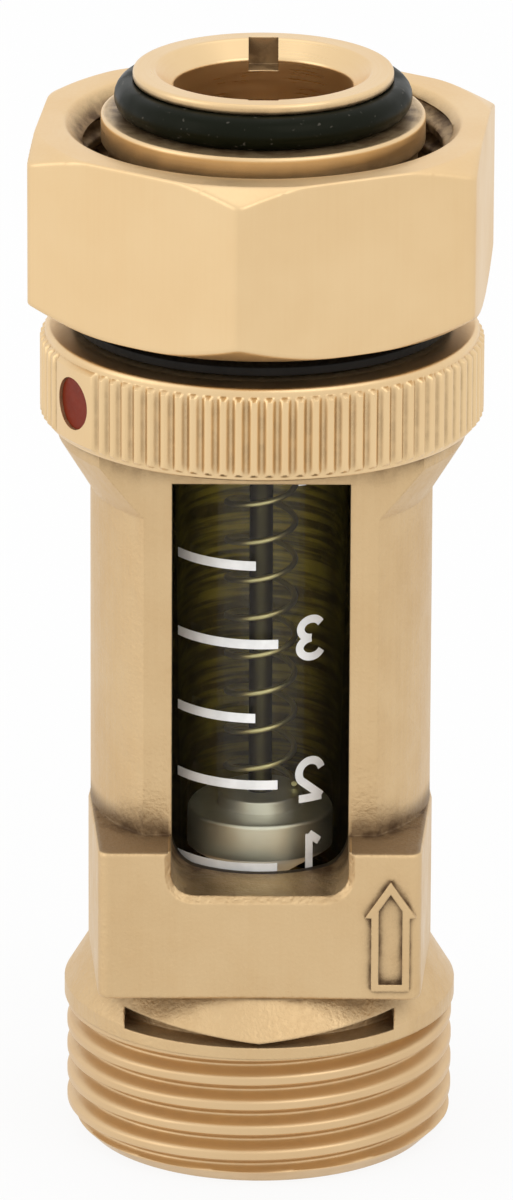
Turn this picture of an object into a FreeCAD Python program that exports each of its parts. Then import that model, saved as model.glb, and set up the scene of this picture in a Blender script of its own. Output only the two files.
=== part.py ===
import FreeCAD, Part
import os
from math import asin, cos, degrees, pi, radians, sin

V = FreeCAD.Vector

# In-line flow meter with regulating ring: forged brass body with a male
# inlet thread and one sight window, conical glass tube, spring-loaded float,
# rotary throttle turned by a knurled ring, tailpiece and union nut.
# Millimetres; +Z is the flow direction, the window faces -Y, z = 0 is the
# end face of the inlet thread.

# ---- male inlet thread (G 3/4) and relief groove --------------------------
thread_r = 13.22
thread_top = 10.25
thread_chamfer = 1.3
relief_r = 11.6
relief_half_width = 9.15
relief_height = 0.3
relief_rise = 0.95

# ---- forged collar, boss and column ---------------------------------------
collar_r = 13.4
collar_low = 9.4
collar_edge_height = 1.1
collar_slope_height = 2.7
boss_half_depth = 12.0
boss_face_half_width = 10.9
boss_side_half_width = 11.75
boss_height = 10.6
boss_corner_r = 0.9
boss_edge_r = 0.35
collar_overlap = 0.5
column_r = 11.6
column_below_tube_top = 4.3
flare_r = 13.8
flare_height = 3.6
flange_height = 1.0
front_flat_y = 8.5

# ---- neck that carries the regulating ring --------------------------------
neck_r = 10.4
neck_height = 6.9
neck_bore_r = 9.0
neck_thread_depth = 1.65

# ---- sight window ----------------------------------------------------------
window_half_width = 6.0
window_sill_z = 20.6
window_head_gap = 1.8
window_corner_r = 1.6
window_bevel = 0.45

# ---- flow arrow on the boss -------------------------------------------------
arrow_x = 8.85
arrow_low = 14.0
arrow_length = 7.9
arrow_head_length = 2.6
arrow_head_half_width = 1.75
arrow_shaft_half_width = 1.3
arrow_line = 0.5
arrow_relief = 0.35

# ---- inlet side -------------------------------------------------------------
inlet_bore_r = 8.0
inlet_bore_depth = 14.0
throat_r = 5.5
throat_length = 2.6
inlet_edge = 0.5

# ---- sight tube and its gaskets ---------------------------------------------
tube_r = 6.75
tube_length = 33.1
tube_bore_low_r = 5.4
tube_bore_top_r = 6.0
tube_edge = 0.3
tube_clearance = 0.15
gasket_low_thickness = 1.0
gasket_top_thickness = 0.8
gasket_width = 1.2

# ---- guide spider, rod and retaining ring -----------------------------------
fit = 0.05
hidden_wire_sides = 8
seen_wire_sides = 12
spider_depth = 2.4
spider_rim = 1.2
spider_spokes = 3
spider_spoke_width = 1.3
hub_r = 1.9
rod_r = 0.8
rod_foot = 1.4
float_rest_gap = 0.1
hub_edge = 0.4
rod_edge = 0.2
rod_head_overhang = 0.6
retainer_wire_r = 0.5
retainer_bite = 0.55
retainer_gap = 3.0

# ---- float ------------------------------------------------------------------
float_r = 5.0
float_nose_r = 2.2
float_nose_height = 2.15
float_band_height = 2.55
float_edge = 0.25
float_lip = 0.35
float_hub_r = 2.9
float_hub_height = 0.9
float_hub_edge = 0.15
float_show = 0.15
float_stroke = 27.6
rod_clearance = 0.1

# ---- float spring -----------------------------------------------------------
spring_r = 2.35
spring_wire_r = 0.2
spring_turns = 12
spring_wire_sides = 6
spring_end_gap = 0.1

# ---- throttle seat and rotor --------------------------------------------------
seat_thickness = 1.0
cup_inner_r = 3.3
cup_wall = 0.6
cup_length = 5.7
cup_lid = 0.8
cup_edge = 0.3
port_outer_r = 6.2
port_gap = 0.2
port_angle = 80.0
rotor_gap = 0.1
rotor_length = 3.6
rotor_disc = 0.95
rotor_bore_r = 6.6
running_clearance = 0.1
rotor_oring_wire_r = 0.35
rotor_oring_margin = 0.25
rotor_groove_play = 0.04
ring_turn = 90.0

# ---- regulating ring ----------------------------------------------------------
ring_r = 15.0
ring_height = 6.5
ring_lift = 0.1
ring_clearance = 0.05
ring_edge = 0.35
flute_count = 90
flute_depth = 0.34
flute_crest = 0.42
flute_root = 0.2
flute_top_land = 0.55
flute_foot_land = 0.3
pad_half_angle = 8.0
dot_azimuth = -58.0
dot_r = 1.8
dot_depth = 1.3
dot_recess = 0.15
pin_r = 0.7
pin_slot_clearance = 0.15
pin_embed = 0.9
ring_oring_wire_r = 0.5
ring_oring_height = 1.3

# ---- slide washer, tailpiece and its O-ring -------------------------------------
washer_r = 12.8
washer_thickness = 0.6
shank_r = 10.4
shank_length = 12.0
spigot_gap = 0.05
spigot_edge = 0.3
tail_bore_r = 6.0
tail_collar_r = 10.9
tail_collar_height = 1.9
tail_collar_edge = 0.25
tail_groove_r = 7.76
tail_groove_height = 2.3
tail_oring_wire_r = 1.12
rim_r = 8.75
rim_height = 0.7
rim_edge = 0.15
countersink_r = 7.3
countersink_depth = 1.1
slot_width = 2.0
slot_reach = 7.5
slot_depth = 1.9

# ---- union nut -------------------------------------------------------------------
nut_lift = 1.1
nut_height = 12.2
nut_across_flats = 30.0
nut_azimuth = -5.2
nut_low_r = 15.0
nut_low_slope = 0.65
nut_top_r = 15.5
nut_top_slope = 0.55
nut_bore_r = 12.06
nut_lead = 1.3
nut_web = 2.8
nut_clearance = 0.1
snap_wire_r = 0.55
snap_height = 3.0
snap_bite = 0.5
snap_gap = 2.4

# ---- levels worked out from the sizes above ----------------------------------------
collar_edge_z = collar_low + collar_edge_height
boss_low = collar_edge_z + collar_slope_height
boss_top = boss_low + boss_height
tube_seat_z = inlet_bore_depth + throat_length
tube_low = tube_seat_z + gasket_low_thickness
tube_top = tube_low + tube_length
flare_low = tube_top - column_below_tube_top
flare_top = flare_low + flare_height
flange_top = flare_top + flange_height
neck_top = flange_top + neck_height
neck_step_z = tube_top + gasket_top_thickness
tube_bore_r = tube_r + tube_clearance
rotor_chamber_r = inlet_bore_r
spider_low = inlet_bore_depth - spider_depth
seat_top = neck_step_z + seat_thickness
cup_top = seat_top + cup_length
cup_r = cup_inner_r + cup_wall
float_low = window_sill_z - float_nose_height + float_show
float_band_low = float_low + float_nose_height
float_band_top = float_band_low + float_band_height
float_top = float_band_top + float_hub_height
rotor_low = seat_top + rotor_gap
rotor_top = rotor_low + rotor_length
rotor_r = rotor_chamber_r - running_clearance
ring_low = flange_top + ring_lift
ring_top = ring_low + ring_height
ring_middle = (ring_low + ring_top) / 2.0
ring_bore_r = neck_r + ring_clearance
washer_low = neck_top
shank_low = washer_low + washer_thickness
spigot_low = neck_top - neck_thread_depth + spigot_gap
tail_collar_low = shank_low + shank_length
tail_collar_top = tail_collar_low + tail_collar_height
rim_low = tail_collar_top + tail_groove_height
rim_top = rim_low + rim_height
nut_low = shank_low + nut_lift
nut_top = nut_low + nut_height
snap_z = shank_low + snap_height


# ---- small helpers -------------------------------------------------------------------
def turned(points):
    """Full revolution of a closed profile given as (radius, height) points."""
    corners = [V(r, 0, z) for r, z in points]
    wire = Part.makePolygon(corners + corners[:1])
    return Part.Face(wire).revolve(V(0, 0, 0), V(0, 0, 1), 360)


def disc(radius, low, high):
    return Part.makeCylinder(radius, high - low, V(0, 0, low))


def sleeve(outer, inner, low, high):
    return disc(outer, low, high).cut(disc(inner, low - 1, high + 1))


def wire_ring(middle_r, wire_r, height, sides):
    """Ring of round wire or cord; its section is an even-sided polygon about the circle."""
    points = []
    for index in range(sides):
        turn = 2 * pi * (index + 0.5) / sides
        points.append((middle_r + wire_r * cos(turn), height + wire_r * sin(turn)))
    return turned(points)


def prism(points, low, high):
    """Upright prism on a closed (x, y) outline."""
    corners = [V(x, y, low) for x, y in points]
    return Part.Face(Part.makePolygon(corners + corners[:1])).extrude(V(0, 0, high - low))


def front_prism(points, near_y, far_y):
    """Prism along Y on a closed (x, z) outline."""
    corners = [V(x, near_y, z) for x, z in points]
    return Part.Face(Part.makePolygon(corners + corners[:1])).extrude(V(0, far_y - near_y, 0))


def block(x0, x1, y0, y1, z0, z1):
    return Part.makeBox(x1 - x0, y1 - y0, z1 - z0, V(x0, y0, z0))


def direction(azimuth):
    """Unit vector in plan; azimuth 0 is the window side, positive towards +X."""
    return V(sin(radians(azimuth)), -cos(radians(azimuth)), 0)


def turned_to(shape, azimuth):
    """Copy of a shape made on the +X axis, swung round to an azimuth."""
    copy = shape.copy()
    copy.rotate(V(0, 0, 0), V(0, 0, 1), azimuth - 90)
    return copy


def radial_pin(radius, inner, outer, azimuth, height):
    along = direction(azimuth)
    return Part.makeCylinder(radius, outer - inner, along * inner + V(0, 0, height), along)


def arc_slot(inner, outer, low, high, start_azimuth, sweep):
    """Ring sector; its sweep runs counter-clockwise seen from above."""
    corners = [V(inner, 0, low), V(outer, 0, low), V(outer, 0, high), V(inner, 0, high)]
    face = Part.Face(Part.makePolygon(corners + corners[:1]))
    face.rotate(V(0, 0, 0), V(0, 0, 1), start_azimuth - 90)
    return face.revolve(V(0, 0, 0), V(0, 0, 1), sweep)


def upright_edges(shape, test):
    chosen = []
    for edge in shape.Edges:
        low, high = edge.Vertexes[0].Point, edge.Vertexes[-1].Point
        if abs(high.z - low.z) > 1e-6 and test(low):
            chosen.append(edge)
    return chosen


# ---- body -------------------------------------------------------------------------------
def forged_boss():
    """Boss with five-degree forging draft in plan and rounded corners."""
    half = [(boss_face_half_width, -boss_half_depth), (boss_side_half_width, 0.0),
            (boss_face_half_width, boss_half_depth)]
    outline = half + [(-x, -y) for x, y in half]
    boss = prism(outline, boss_low, boss_top)
    corners = upright_edges(boss, lambda p: abs(p.y) > boss_half_depth / 2)
    boss = boss.makeFillet(boss_corner_r, corners)
    rims = [e for e in boss.Edges if abs(e.BoundBox.ZMax - e.BoundBox.ZMin) < 1e-6]
    return boss.makeFillet(boss_edge_r, rims)


def flow_arrow():
    """Raised outline of an arrow that points along the flow."""
    def outline(inset):
        flank = (arrow_head_half_width ** 2 + arrow_head_length ** 2) ** 0.5
        tip = arrow_low + arrow_length - inset * flank / arrow_head_half_width
        shoulder = arrow_low + arrow_length - arrow_head_length + inset
        head = arrow_head_half_width * (tip - shoulder) / arrow_head_length
        shaft = arrow_shaft_half_width - inset
        foot = arrow_low + inset
        return [(-shaft, foot), (shaft, foot), (shaft, shoulder), (head, shoulder),
                (0, tip), (-head, shoulder), (-shaft, shoulder)]

    near, far = -boss_half_depth - arrow_relief, -boss_half_depth + boss_corner_r
    ridge = front_prism(outline(0.0), near, far)
    ridge = ridge.cut(front_prism(outline(arrow_line), near - 1, far + 1))
    ridge.translate(V(arrow_x, 0, 0))
    return ridge


def window_outline(half_width, sill, head, corner):
    """Window with two rounded lower corners, as a wire in the XZ plane."""
    left, right = -half_width, half_width
    low = sill
    swing = corner * (1 - cos(pi / 4))
    points = {
        "a": V(left, 0, head), "b": V(left, 0, low + corner),
        "bc": V(left + swing, 0, low + swing), "c": V(left + corner, 0, low),
        "d": V(right - corner, 0, low), "de": V(right - swing, 0, low + swing),
        "e": V(right, 0, low + corner), "f": V(right, 0, head)}
    edges = [Part.makeLine(points["a"], points["b"]),
             Part.Arc(points["b"], points["bc"], points["c"]).toShape(),
             Part.makeLine(points["c"], points["d"]),
             Part.Arc(points["d"], points["de"], points["e"]).toShape(),
             Part.makeLine(points["e"], points["f"]),
             Part.makeLine(points["f"], points["a"])]
    return Part.Wire(edges)


def window_cut():
    """Milled window from the front into the tube bore, with a bevelled mouth."""
    head = tube_top - window_head_gap
    straight = window_outline(window_half_width, window_sill_z, head, window_corner_r)
    straight.translate(V(0, -boss_half_depth - 1, 0))
    opening = Part.Face(straight).extrude(V(0, boss_half_depth + 1, 0))
    wide = window_outline(window_half_width + window_bevel, window_sill_z - window_bevel,
                          boss_top + 1, window_corner_r + window_bevel)
    wide.translate(V(0, -boss_half_depth, 0))
    narrow = window_outline(window_half_width, window_sill_z, boss_top + 1, window_corner_r)
    narrow.translate(V(0, -boss_half_depth + window_bevel, 0))
    bevel = Part.makeLoft([wide, narrow], True, True)
    return opening.fuse(bevel)


def relief_cut():
    """Run-out groove above the thread, open at the front and at the back."""
    low, high = thread_top, thread_top + relief_height
    side = high + relief_rise
    reach = collar_r + 2
    outline = [(-relief_half_width, low), (relief_half_width, low),
               (relief_half_width, side), (0, high), (-relief_half_width, side)]
    return front_prism(outline, -reach, reach).cut(disc(relief_r, low - 1, side + 1))


def pin_slots():
    """Two slots in the neck that let the drive pins swing."""
    half_height = pin_r + pin_slot_clearance
    spare = degrees(asin(half_height / rotor_chamber_r))
    start = dot_azimuth - spare
    sweep = ring_turn + 2 * spare
    low, high = ring_middle - half_height, ring_middle + half_height
    first = arc_slot(rotor_chamber_r - 1, neck_r + 1, low, high, start, sweep)
    second = arc_slot(rotor_chamber_r - 1, neck_r + 1, low, high, start + 180, sweep)
    return first.fuse(second)


def make_body():
    foot = thread_r - thread_chamfer
    collar = turned([(0, 0), (foot, 0), (thread_r, thread_chamfer), (thread_r, collar_low),
                     (collar_r, collar_low), (collar_r, collar_edge_z),
                     (boss_side_half_width, boss_low),
                     (column_r, boss_low + collar_overlap), (0, boss_low + collar_overlap)])
    column = turned([(0, boss_low), (column_r, boss_low), (column_r, flare_low),
                     (flare_r, flare_top), (flare_r, flange_top), (neck_r, flange_top),
                     (neck_r, neck_top), (0, neck_top)])
    reach = flare_r + 1
    front_flat = block(-reach, reach, -reach, -front_flat_y, boss_top, flange_top)
    column = column.cut(front_flat)
    solid = collar.fuse([column, forged_boss(), flow_arrow()])
    bores = turned([(0, -1), (inlet_bore_r + inlet_edge + 1, -1), (inlet_bore_r, inlet_edge),
                    (inlet_bore_r, inlet_bore_depth), (throat_r, inlet_bore_depth),
                    (throat_r, tube_seat_z), (tube_bore_r, tube_seat_z),
                    (tube_bore_r, neck_step_z), (rotor_chamber_r, neck_step_z),
                    (rotor_chamber_r, neck_top - neck_thread_depth),
                    (neck_bore_r, neck_top - neck_thread_depth),
                    (neck_bore_r, neck_top + 1), (0, neck_top + 1)])
    retainer_groove = sleeve(inlet_bore_r + retainer_bite, inlet_bore_r - 1,
                             spider_low - 2 * retainer_wire_r, spider_low)
    body = solid.cut(bores)
    body = body.cut(window_cut())
    body = body.cut(relief_cut())
    body = body.cut(pin_slots())
    body = body.cut(retainer_groove)
    return body.removeSplitter()


# ---- sight tube, gaskets, guides -----------------------------------------------------------
def make_sight_tube():
    return turned([(tube_bore_low_r, tube_low), (tube_r - tube_edge, tube_low),
                   (tube_r, tube_low + tube_edge), (tube_r, tube_top - tube_edge),
                   (tube_r - tube_edge, tube_top), (tube_bore_top_r, tube_top)])


def make_gasket(low, thickness):
    return sleeve(tube_r, tube_r - gasket_width, low, low + thickness)


def make_inlet_guide():
    """Three-spoke spider whose hub holds the rod and is the float's stop."""
    outer = inlet_bore_r - fit
    high = inlet_bore_depth
    rim = sleeve(outer, outer - spider_rim, spider_low, high)
    hub_top = float_low - float_rest_gap
    hub = turned([(rod_r, spider_low), (hub_r, spider_low), (hub_r, hub_top - hub_edge),
                  (hub_r - hub_edge, hub_top), (rod_r, hub_top)])
    guide = rim.fuse(hub)
    spoke = block((rod_r + hub_r) / 2, outer - spider_rim / 2, -spider_spoke_width / 2,
                  spider_spoke_width / 2, spider_low, high)
    for index in range(spider_spokes):
        guide = guide.fuse(turned_to(spoke, 360.0 * index / spider_spokes + 180))
    return guide.removeSplitter()


def make_inlet_retainer():
    middle = inlet_bore_r + retainer_bite - retainer_wire_r
    ring = wire_ring(middle, retainer_wire_r, spider_low - retainer_wire_r, hidden_wire_sides)
    gap = block(0, inlet_bore_r + 2, -retainer_gap / 2, retainer_gap / 2,
                spider_low - 2, spider_low + 1)
    return ring.cut(turned_to(gap, 180))


def make_guide_rod():
    low = spider_low - rod_foot
    high = cup_top - cup_lid / 2
    shaft = turned([(0, low), (rod_r, low), (rod_r, high - rod_edge), (rod_r - rod_edge, high),
                    (0, high)])
    head = disc(rod_r + rod_head_overhang, low, spider_low)
    return shaft.fuse(head).removeSplitter()


# ---- float and spring -------------------------------------------------------------------------
def make_float():
    """Turned float: cone below, sharp reading edge, band and spring hub."""
    bore = rod_r + rod_clearance
    return turned([(bore, float_low), (float_nose_r, float_low),
                   (float_r - float_lip, float_band_low - float_lip), (float_r, float_band_low),
                   (float_r, float_band_top - float_edge), (float_r - float_edge, float_band_top),
                   (float_hub_r, float_band_top), (float_hub_r, float_top - float_hub_edge),
                   (float_hub_r - float_hub_edge, float_top), (bore, float_top)])


def make_float_spring():
    low = float_top + spring_wire_r + spring_end_gap
    high = cup_top - cup_lid - spring_wire_r - spring_end_gap
    path = Part.Wire(Part.makeHelix((high - low) / spring_turns, high - low, spring_r))
    corners = []
    for index in range(spring_wire_sides):
        turn = 2 * pi * index / spring_wire_sides
        corners.append(V(spring_r + spring_wire_r * cos(turn), 0, spring_wire_r * sin(turn)))
    section = Part.makePolygon(corners + corners[:1])
    spring = path.makePipeShell([section], True, True)
    spring.translate(V(0, 0, low))
    return spring


# ---- throttle ------------------------------------------------------------------------------------
def ports(low, high):
    """Two opposite sector openings, in line at rest."""
    inner = cup_r + running_clearance + port_gap
    middle = dot_azimuth + 90
    openings = []
    for side in (0, 180):
        start = middle + side - port_angle / 2
        openings.append(arc_slot(inner, port_outer_r, low - 0.5, high + 0.5, start, port_angle))
    return openings[0].fuse(openings[1])


def make_throttle_seat():
    """Fixed port disc with the closed cup that takes the spring and the rod."""
    outer = rotor_chamber_r - fit
    bore = rod_r
    inside = cup_top - cup_lid
    plate = turned([(cup_inner_r, neck_step_z), (outer, neck_step_z), (outer, seat_top),
                    (cup_r, seat_top), (cup_r, cup_top - cup_edge), (cup_r - cup_edge, cup_top),
                    (bore, cup_top), (bore, inside), (cup_inner_r, inside)])
    return plate.cut(ports(neck_step_z, seat_top))


def make_throttle_rotor():
    groove_r = rotor_chamber_r - fit - 2 * rotor_oring_wire_r
    width = 2 * rotor_oring_wire_r + rotor_groove_play
    low_groove = rotor_low + rotor_oring_margin
    top_groove = rotor_top - rotor_oring_margin - width
    rotor = turned([(cup_r + running_clearance, rotor_low), (rotor_r, rotor_low),
                    (rotor_r, low_groove), (groove_r, low_groove),
                    (groove_r, low_groove + width), (rotor_r, low_groove + width),
                    (rotor_r, top_groove), (groove_r, top_groove),
                    (groove_r, top_groove + width), (rotor_r, top_groove + width),
                    (rotor_r, rotor_top), (rotor_bore_r, rotor_top),
                    (rotor_bore_r, rotor_low + rotor_disc),
                    (cup_r + running_clearance, rotor_low + rotor_disc)])
    rotor = rotor.cut(ports(rotor_low, rotor_low + rotor_disc))
    for side in (0, 180):
        rotor = rotor.cut(radial_pin(pin_r, rotor_r - pin_embed, rotor_r + 1,
                                     dot_azimuth + side, ring_middle))
    return rotor


def make_rotor_oring(groove_low):
    middle = rotor_chamber_r - fit - rotor_oring_wire_r
    height = groove_low + rotor_oring_wire_r + rotor_groove_play / 2
    return wire_ring(middle, rotor_oring_wire_r, height, hidden_wire_sides)


def make_drive_pin(azimuth):
    inner = rotor_r - pin_embed
    outer = ring_r - flute_depth - dot_recess - dot_depth
    return radial_pin(pin_r, inner, outer, azimuth, ring_middle)


# ---- regulating ring --------------------------------------------------------------------------------
def fluted_outline():
    """Outline of the ring in plan: straight flutes with one plain pad."""
    pitch = 360.0 / flute_count
    root_r = ring_r - flute_depth
    crest = degrees(flute_crest / ring_r)
    root = degrees(flute_root / ring_r)
    corners = []
    for index in range(flute_count):
        middle = dot_azimuth + pitch * (index + 0.5)
        offset = (middle - dot_azimuth + 180) % 360 - 180
        if abs(offset) < pad_half_angle:
            corners.append((ring_r, middle - pitch / 2))
            continue
        flank = (pitch - crest - root) / 2
        start = middle - pitch / 2 + crest / 2
        corners.append((ring_r, start))
        corners.append((root_r, start + flank))
        corners.append((root_r, start + flank + root))
        corners.append((ring_r, start + 2 * flank + root))
    outline = []
    for radius, azimuth in corners:
        spot = direction(azimuth) * radius
        outline.append((spot.x, spot.y))
    return outline


def make_regulating_ring():
    plain_r = ring_r - flute_depth
    fluted = prism(fluted_outline(), ring_low + flute_foot_land, ring_top - flute_top_land)
    core = turned([(0, ring_low), (plain_r - ring_edge, ring_low),
                   (plain_r, ring_low + ring_edge), (plain_r, ring_top - ring_edge),
                   (plain_r - ring_edge, ring_top), (0, ring_top)])
    ring = fluted.fuse(core)
    groove_low = ring_low + ring_oring_height - ring_oring_wire_r
    bore = turned([(0, ring_low - 1), (ring_bore_r, ring_low - 1), (ring_bore_r, groove_low),
                   (ring_bore_r + 2 * ring_oring_wire_r, groove_low),
                   (ring_bore_r + 2 * ring_oring_wire_r, groove_low + 2 * ring_oring_wire_r),
                   (ring_bore_r, groove_low + 2 * ring_oring_wire_r),
                   (ring_bore_r, ring_top + 1), (0, ring_top + 1)])
    ring = ring.cut(bore)
    dot_floor = ring_r - flute_depth - dot_recess - dot_depth
    ring = ring.cut(radial_pin(dot_r, dot_floor, ring_r + 1, dot_azimuth, ring_middle))
    for side in (0, 180):
        ring = ring.cut(radial_pin(pin_r, neck_r - 1, dot_floor, dot_azimuth + side, ring_middle))
    return ring


def make_position_dot():
    floor = ring_r - flute_depth - dot_recess - dot_depth
    plug = radial_pin(dot_r, floor, ring_r + 1, dot_azimuth, ring_middle)
    return plug.common(disc(ring_r - dot_recess, ring_low, ring_top))


def make_ring_oring():
    return wire_ring(ring_bore_r + ring_oring_wire_r, ring_oring_wire_r,
                     ring_low + ring_oring_height, hidden_wire_sides)


# ---- outlet side ----------------------------------------------------------------------------------------
def make_slide_washer():
    return sleeve(washer_r, neck_bore_r, washer_low, washer_low + washer_thickness)


def make_tailpiece():
    snap_floor = shank_r - snap_bite - fit
    snap_low = snap_z - snap_wire_r - fit
    snap_high = snap_z + snap_wire_r + fit
    spigot_r = neck_bore_r - fit
    piece = turned([(tail_bore_r, spigot_low), (spigot_r - spigot_edge, spigot_low),
                    (spigot_r, spigot_low + spigot_edge), (spigot_r, shank_low),
                    (shank_r, shank_low),
                    (shank_r, snap_low), (snap_floor, snap_low), (snap_floor, snap_high),
                    (shank_r, snap_high), (shank_r, tail_collar_low),
                    (tail_collar_r, tail_collar_low),
                    (tail_collar_r, tail_collar_top - tail_collar_edge),
                    (tail_collar_r - tail_collar_edge, tail_collar_top),
                    (tail_groove_r, tail_collar_top),
                    (tail_groove_r, rim_low), (rim_r - rim_edge, rim_low),
                    (rim_r, rim_low + rim_edge), (rim_r, rim_top - rim_edge),
                    (rim_r - rim_edge, rim_top), (countersink_r, rim_top),
                    (tail_bore_r, rim_top - countersink_depth)])
    slots = block(-slot_reach, slot_reach, -slot_width / 2, slot_width / 2,
                  rim_top - slot_depth, rim_top + 1)
    slots = slots.common(disc(slot_reach, rim_top - slot_depth, rim_top + 1))
    return piece.cut(turned_to(slots, 0))


def make_tailpiece_oring():
    return wire_ring(tail_groove_r + tail_oring_wire_r, tail_oring_wire_r,
                     (tail_collar_top + rim_low) / 2, seen_wire_sides)


def make_snap_ring():
    middle = shank_r - snap_bite + snap_wire_r
    ring = wire_ring(middle, snap_wire_r, snap_z, hidden_wire_sides)
    gap = block(0, shank_r + 2, -snap_gap / 2, snap_gap / 2, snap_z - 2, snap_z + 2)
    return ring.cut(turned_to(gap, 180))


def make_union_nut():
    apothem = nut_across_flats / 2
    corner_r = apothem / cos(pi / 6)
    outline = []
    for index in range(6):
        spot = direction(nut_azimuth + 60 * index) * corner_r
        outline.append((spot.x, spot.y))
    hexagon = prism(outline, nut_low, nut_top)
    far = corner_r + 1
    envelope = turned([(0, nut_low), (nut_low_r, nut_low),
                       (far, nut_low + (far - nut_low_r) * nut_low_slope),
                       (far, nut_top - (far - nut_top_r) * nut_top_slope),
                       (nut_top_r, nut_top), (0, nut_top)])
    nut = hexagon.common(envelope)
    web_r = shank_r + nut_clearance
    groove_r = shank_r - snap_bite + 2 * snap_wire_r + nut_clearance
    groove_low = snap_z - snap_wire_r - nut_clearance
    groove_high = snap_z + snap_wire_r + nut_clearance
    web_top = nut_low + nut_web
    bore = turned([(0, nut_low - 1), (web_r, nut_low - 1), (web_r, groove_low),
                   (groove_r, groove_low), (groove_r, groove_high), (web_r, groove_high),
                   (web_r, web_top), (nut_bore_r, web_top), (nut_bore_r, nut_top - nut_lead),
                   (nut_bore_r + nut_lead, nut_top), (nut_bore_r + nut_lead, nut_top + 1),
                   (0, nut_top + 1)])
    return nut.cut(bore)


def main():
    top_oring_low = rotor_top - rotor_oring_margin - 2 * rotor_oring_wire_r - rotor_groove_play
    pieces = {
        "body": make_body(),
        "sight_tube": make_sight_tube(),
        "tube_gasket_lower": make_gasket(tube_seat_z, gasket_low_thickness),
        "tube_gasket_upper": make_gasket(tube_top, gasket_top_thickness),
        "inlet_guide": make_inlet_guide(),
        "inlet_retainer": make_inlet_retainer(),
        "guide_rod": make_guide_rod(),
        "float": make_float(),
        "float_spring": make_float_spring(),
        "throttle_seat": make_throttle_seat(),
        "throttle_rotor": make_throttle_rotor(),
        "rotor_oring_lower": make_rotor_oring(rotor_low + rotor_oring_margin),
        "rotor_oring_upper": make_rotor_oring(top_oring_low),
        "drive_pin_front": make_drive_pin(dot_azimuth),
        "drive_pin_rear": make_drive_pin(dot_azimuth + 180),
        "regulating_ring": make_regulating_ring(),
        "position_dot": make_position_dot(),
        "ring_friction_oring": make_ring_oring(),
        "slide_washer": make_slide_washer(),
        "tailpiece": make_tailpiece(),
        "tailpiece_oring": make_tailpiece_oring(),
        "nut_snap_ring": make_snap_ring(),
        "union_nut": make_union_nut(),
    }
    os.makedirs("parts", exist_ok=True)
    for name, shape in pieces.items():
        shape.exportStep("parts/" + name + ".step")
        box = shape.BoundBox
        print("%-20s solids %d valid %s volume %9.2f  z %6.2f..%6.2f" % (
            name, len(shape.Solids), shape.isValid(), shape.Volume, box.ZMin, box.ZMax))


main()
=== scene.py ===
"""Dressed model of an in-line brass flow meter with a regulating ring.

Laid out as an add-on: property groups hold the sizes and colours, one operator
makes each piece or group of like pieces, and a panel lists them. Run as a
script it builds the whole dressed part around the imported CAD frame.
"""
from math import radians

import bmesh
import bpy
import numpy as np
from mathutils import Matrix, Vector


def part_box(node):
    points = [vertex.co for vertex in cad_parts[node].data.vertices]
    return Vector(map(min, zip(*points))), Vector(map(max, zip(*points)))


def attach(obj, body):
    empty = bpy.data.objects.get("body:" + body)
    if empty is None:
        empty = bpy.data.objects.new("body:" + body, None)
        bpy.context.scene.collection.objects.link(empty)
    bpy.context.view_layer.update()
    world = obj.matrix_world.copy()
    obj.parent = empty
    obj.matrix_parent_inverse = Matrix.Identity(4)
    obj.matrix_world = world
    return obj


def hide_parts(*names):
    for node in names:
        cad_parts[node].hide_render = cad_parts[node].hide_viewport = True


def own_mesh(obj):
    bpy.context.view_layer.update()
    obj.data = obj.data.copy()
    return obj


bl_info = {
    "name": "In-line flow meter",
    "version": (1, 0, 0),
    "blender": (4, 5, 0),
    "location": "3D View > Sidebar > Flow meter",
    "description": "Dresses the brass flow meter: threads, knurl, scale, glass and finishes",
    "category": "Object",
}

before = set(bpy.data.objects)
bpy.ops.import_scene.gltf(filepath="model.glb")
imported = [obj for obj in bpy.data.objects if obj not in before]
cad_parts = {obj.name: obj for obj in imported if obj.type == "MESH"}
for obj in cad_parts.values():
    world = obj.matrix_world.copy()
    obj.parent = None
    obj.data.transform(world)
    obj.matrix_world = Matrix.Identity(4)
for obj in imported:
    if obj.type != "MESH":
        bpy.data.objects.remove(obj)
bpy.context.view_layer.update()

MM = 0.001
TAU = 2 * np.pi


def node_box(name):
    """Lowest and highest corner of a CAD node, in millimetres."""
    low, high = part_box(name)
    return np.array(low) / MM, np.array(high) / MM


# Corners, levels and radii of the CAD nodes, in millimetres.
TUBE_LOW, TUBE_HIGH = node_box("sight_tube")
RING_LOW, RING_HIGH = node_box("regulating_ring")
NUT_LOW, NUT_HIGH = node_box("union_nut")
TAIL_LOW, TAIL_HIGH = node_box("tailpiece")
WASHER_LOW, WASHER_HIGH = node_box("slide_washer")
FLOAT_LOW, FLOAT_HIGH = node_box("float")
SPRING_LOW, SPRING_HIGH = node_box("float_spring")
ORING_LOW, ORING_HIGH = node_box("tailpiece_oring")
TUBE_R = TUBE_HIGH[0]
FLOAT_R = FLOAT_HIGH[0]
RING_R = max(RING_HIGH[:2])


# ---- sizes and colours a user would change ----
def length(name, text, millimetres):
    return bpy.props.FloatProperty(name=name, description=text, default=millimetres * MM,
                                   unit="LENGTH", precision=5)


def colour(name, text, red, green, blue):
    return bpy.props.FloatVectorProperty(name=name, description=text, subtype="COLOR", size=3,
                                         min=0.0, max=1.0, default=(red, green, blue))


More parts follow.
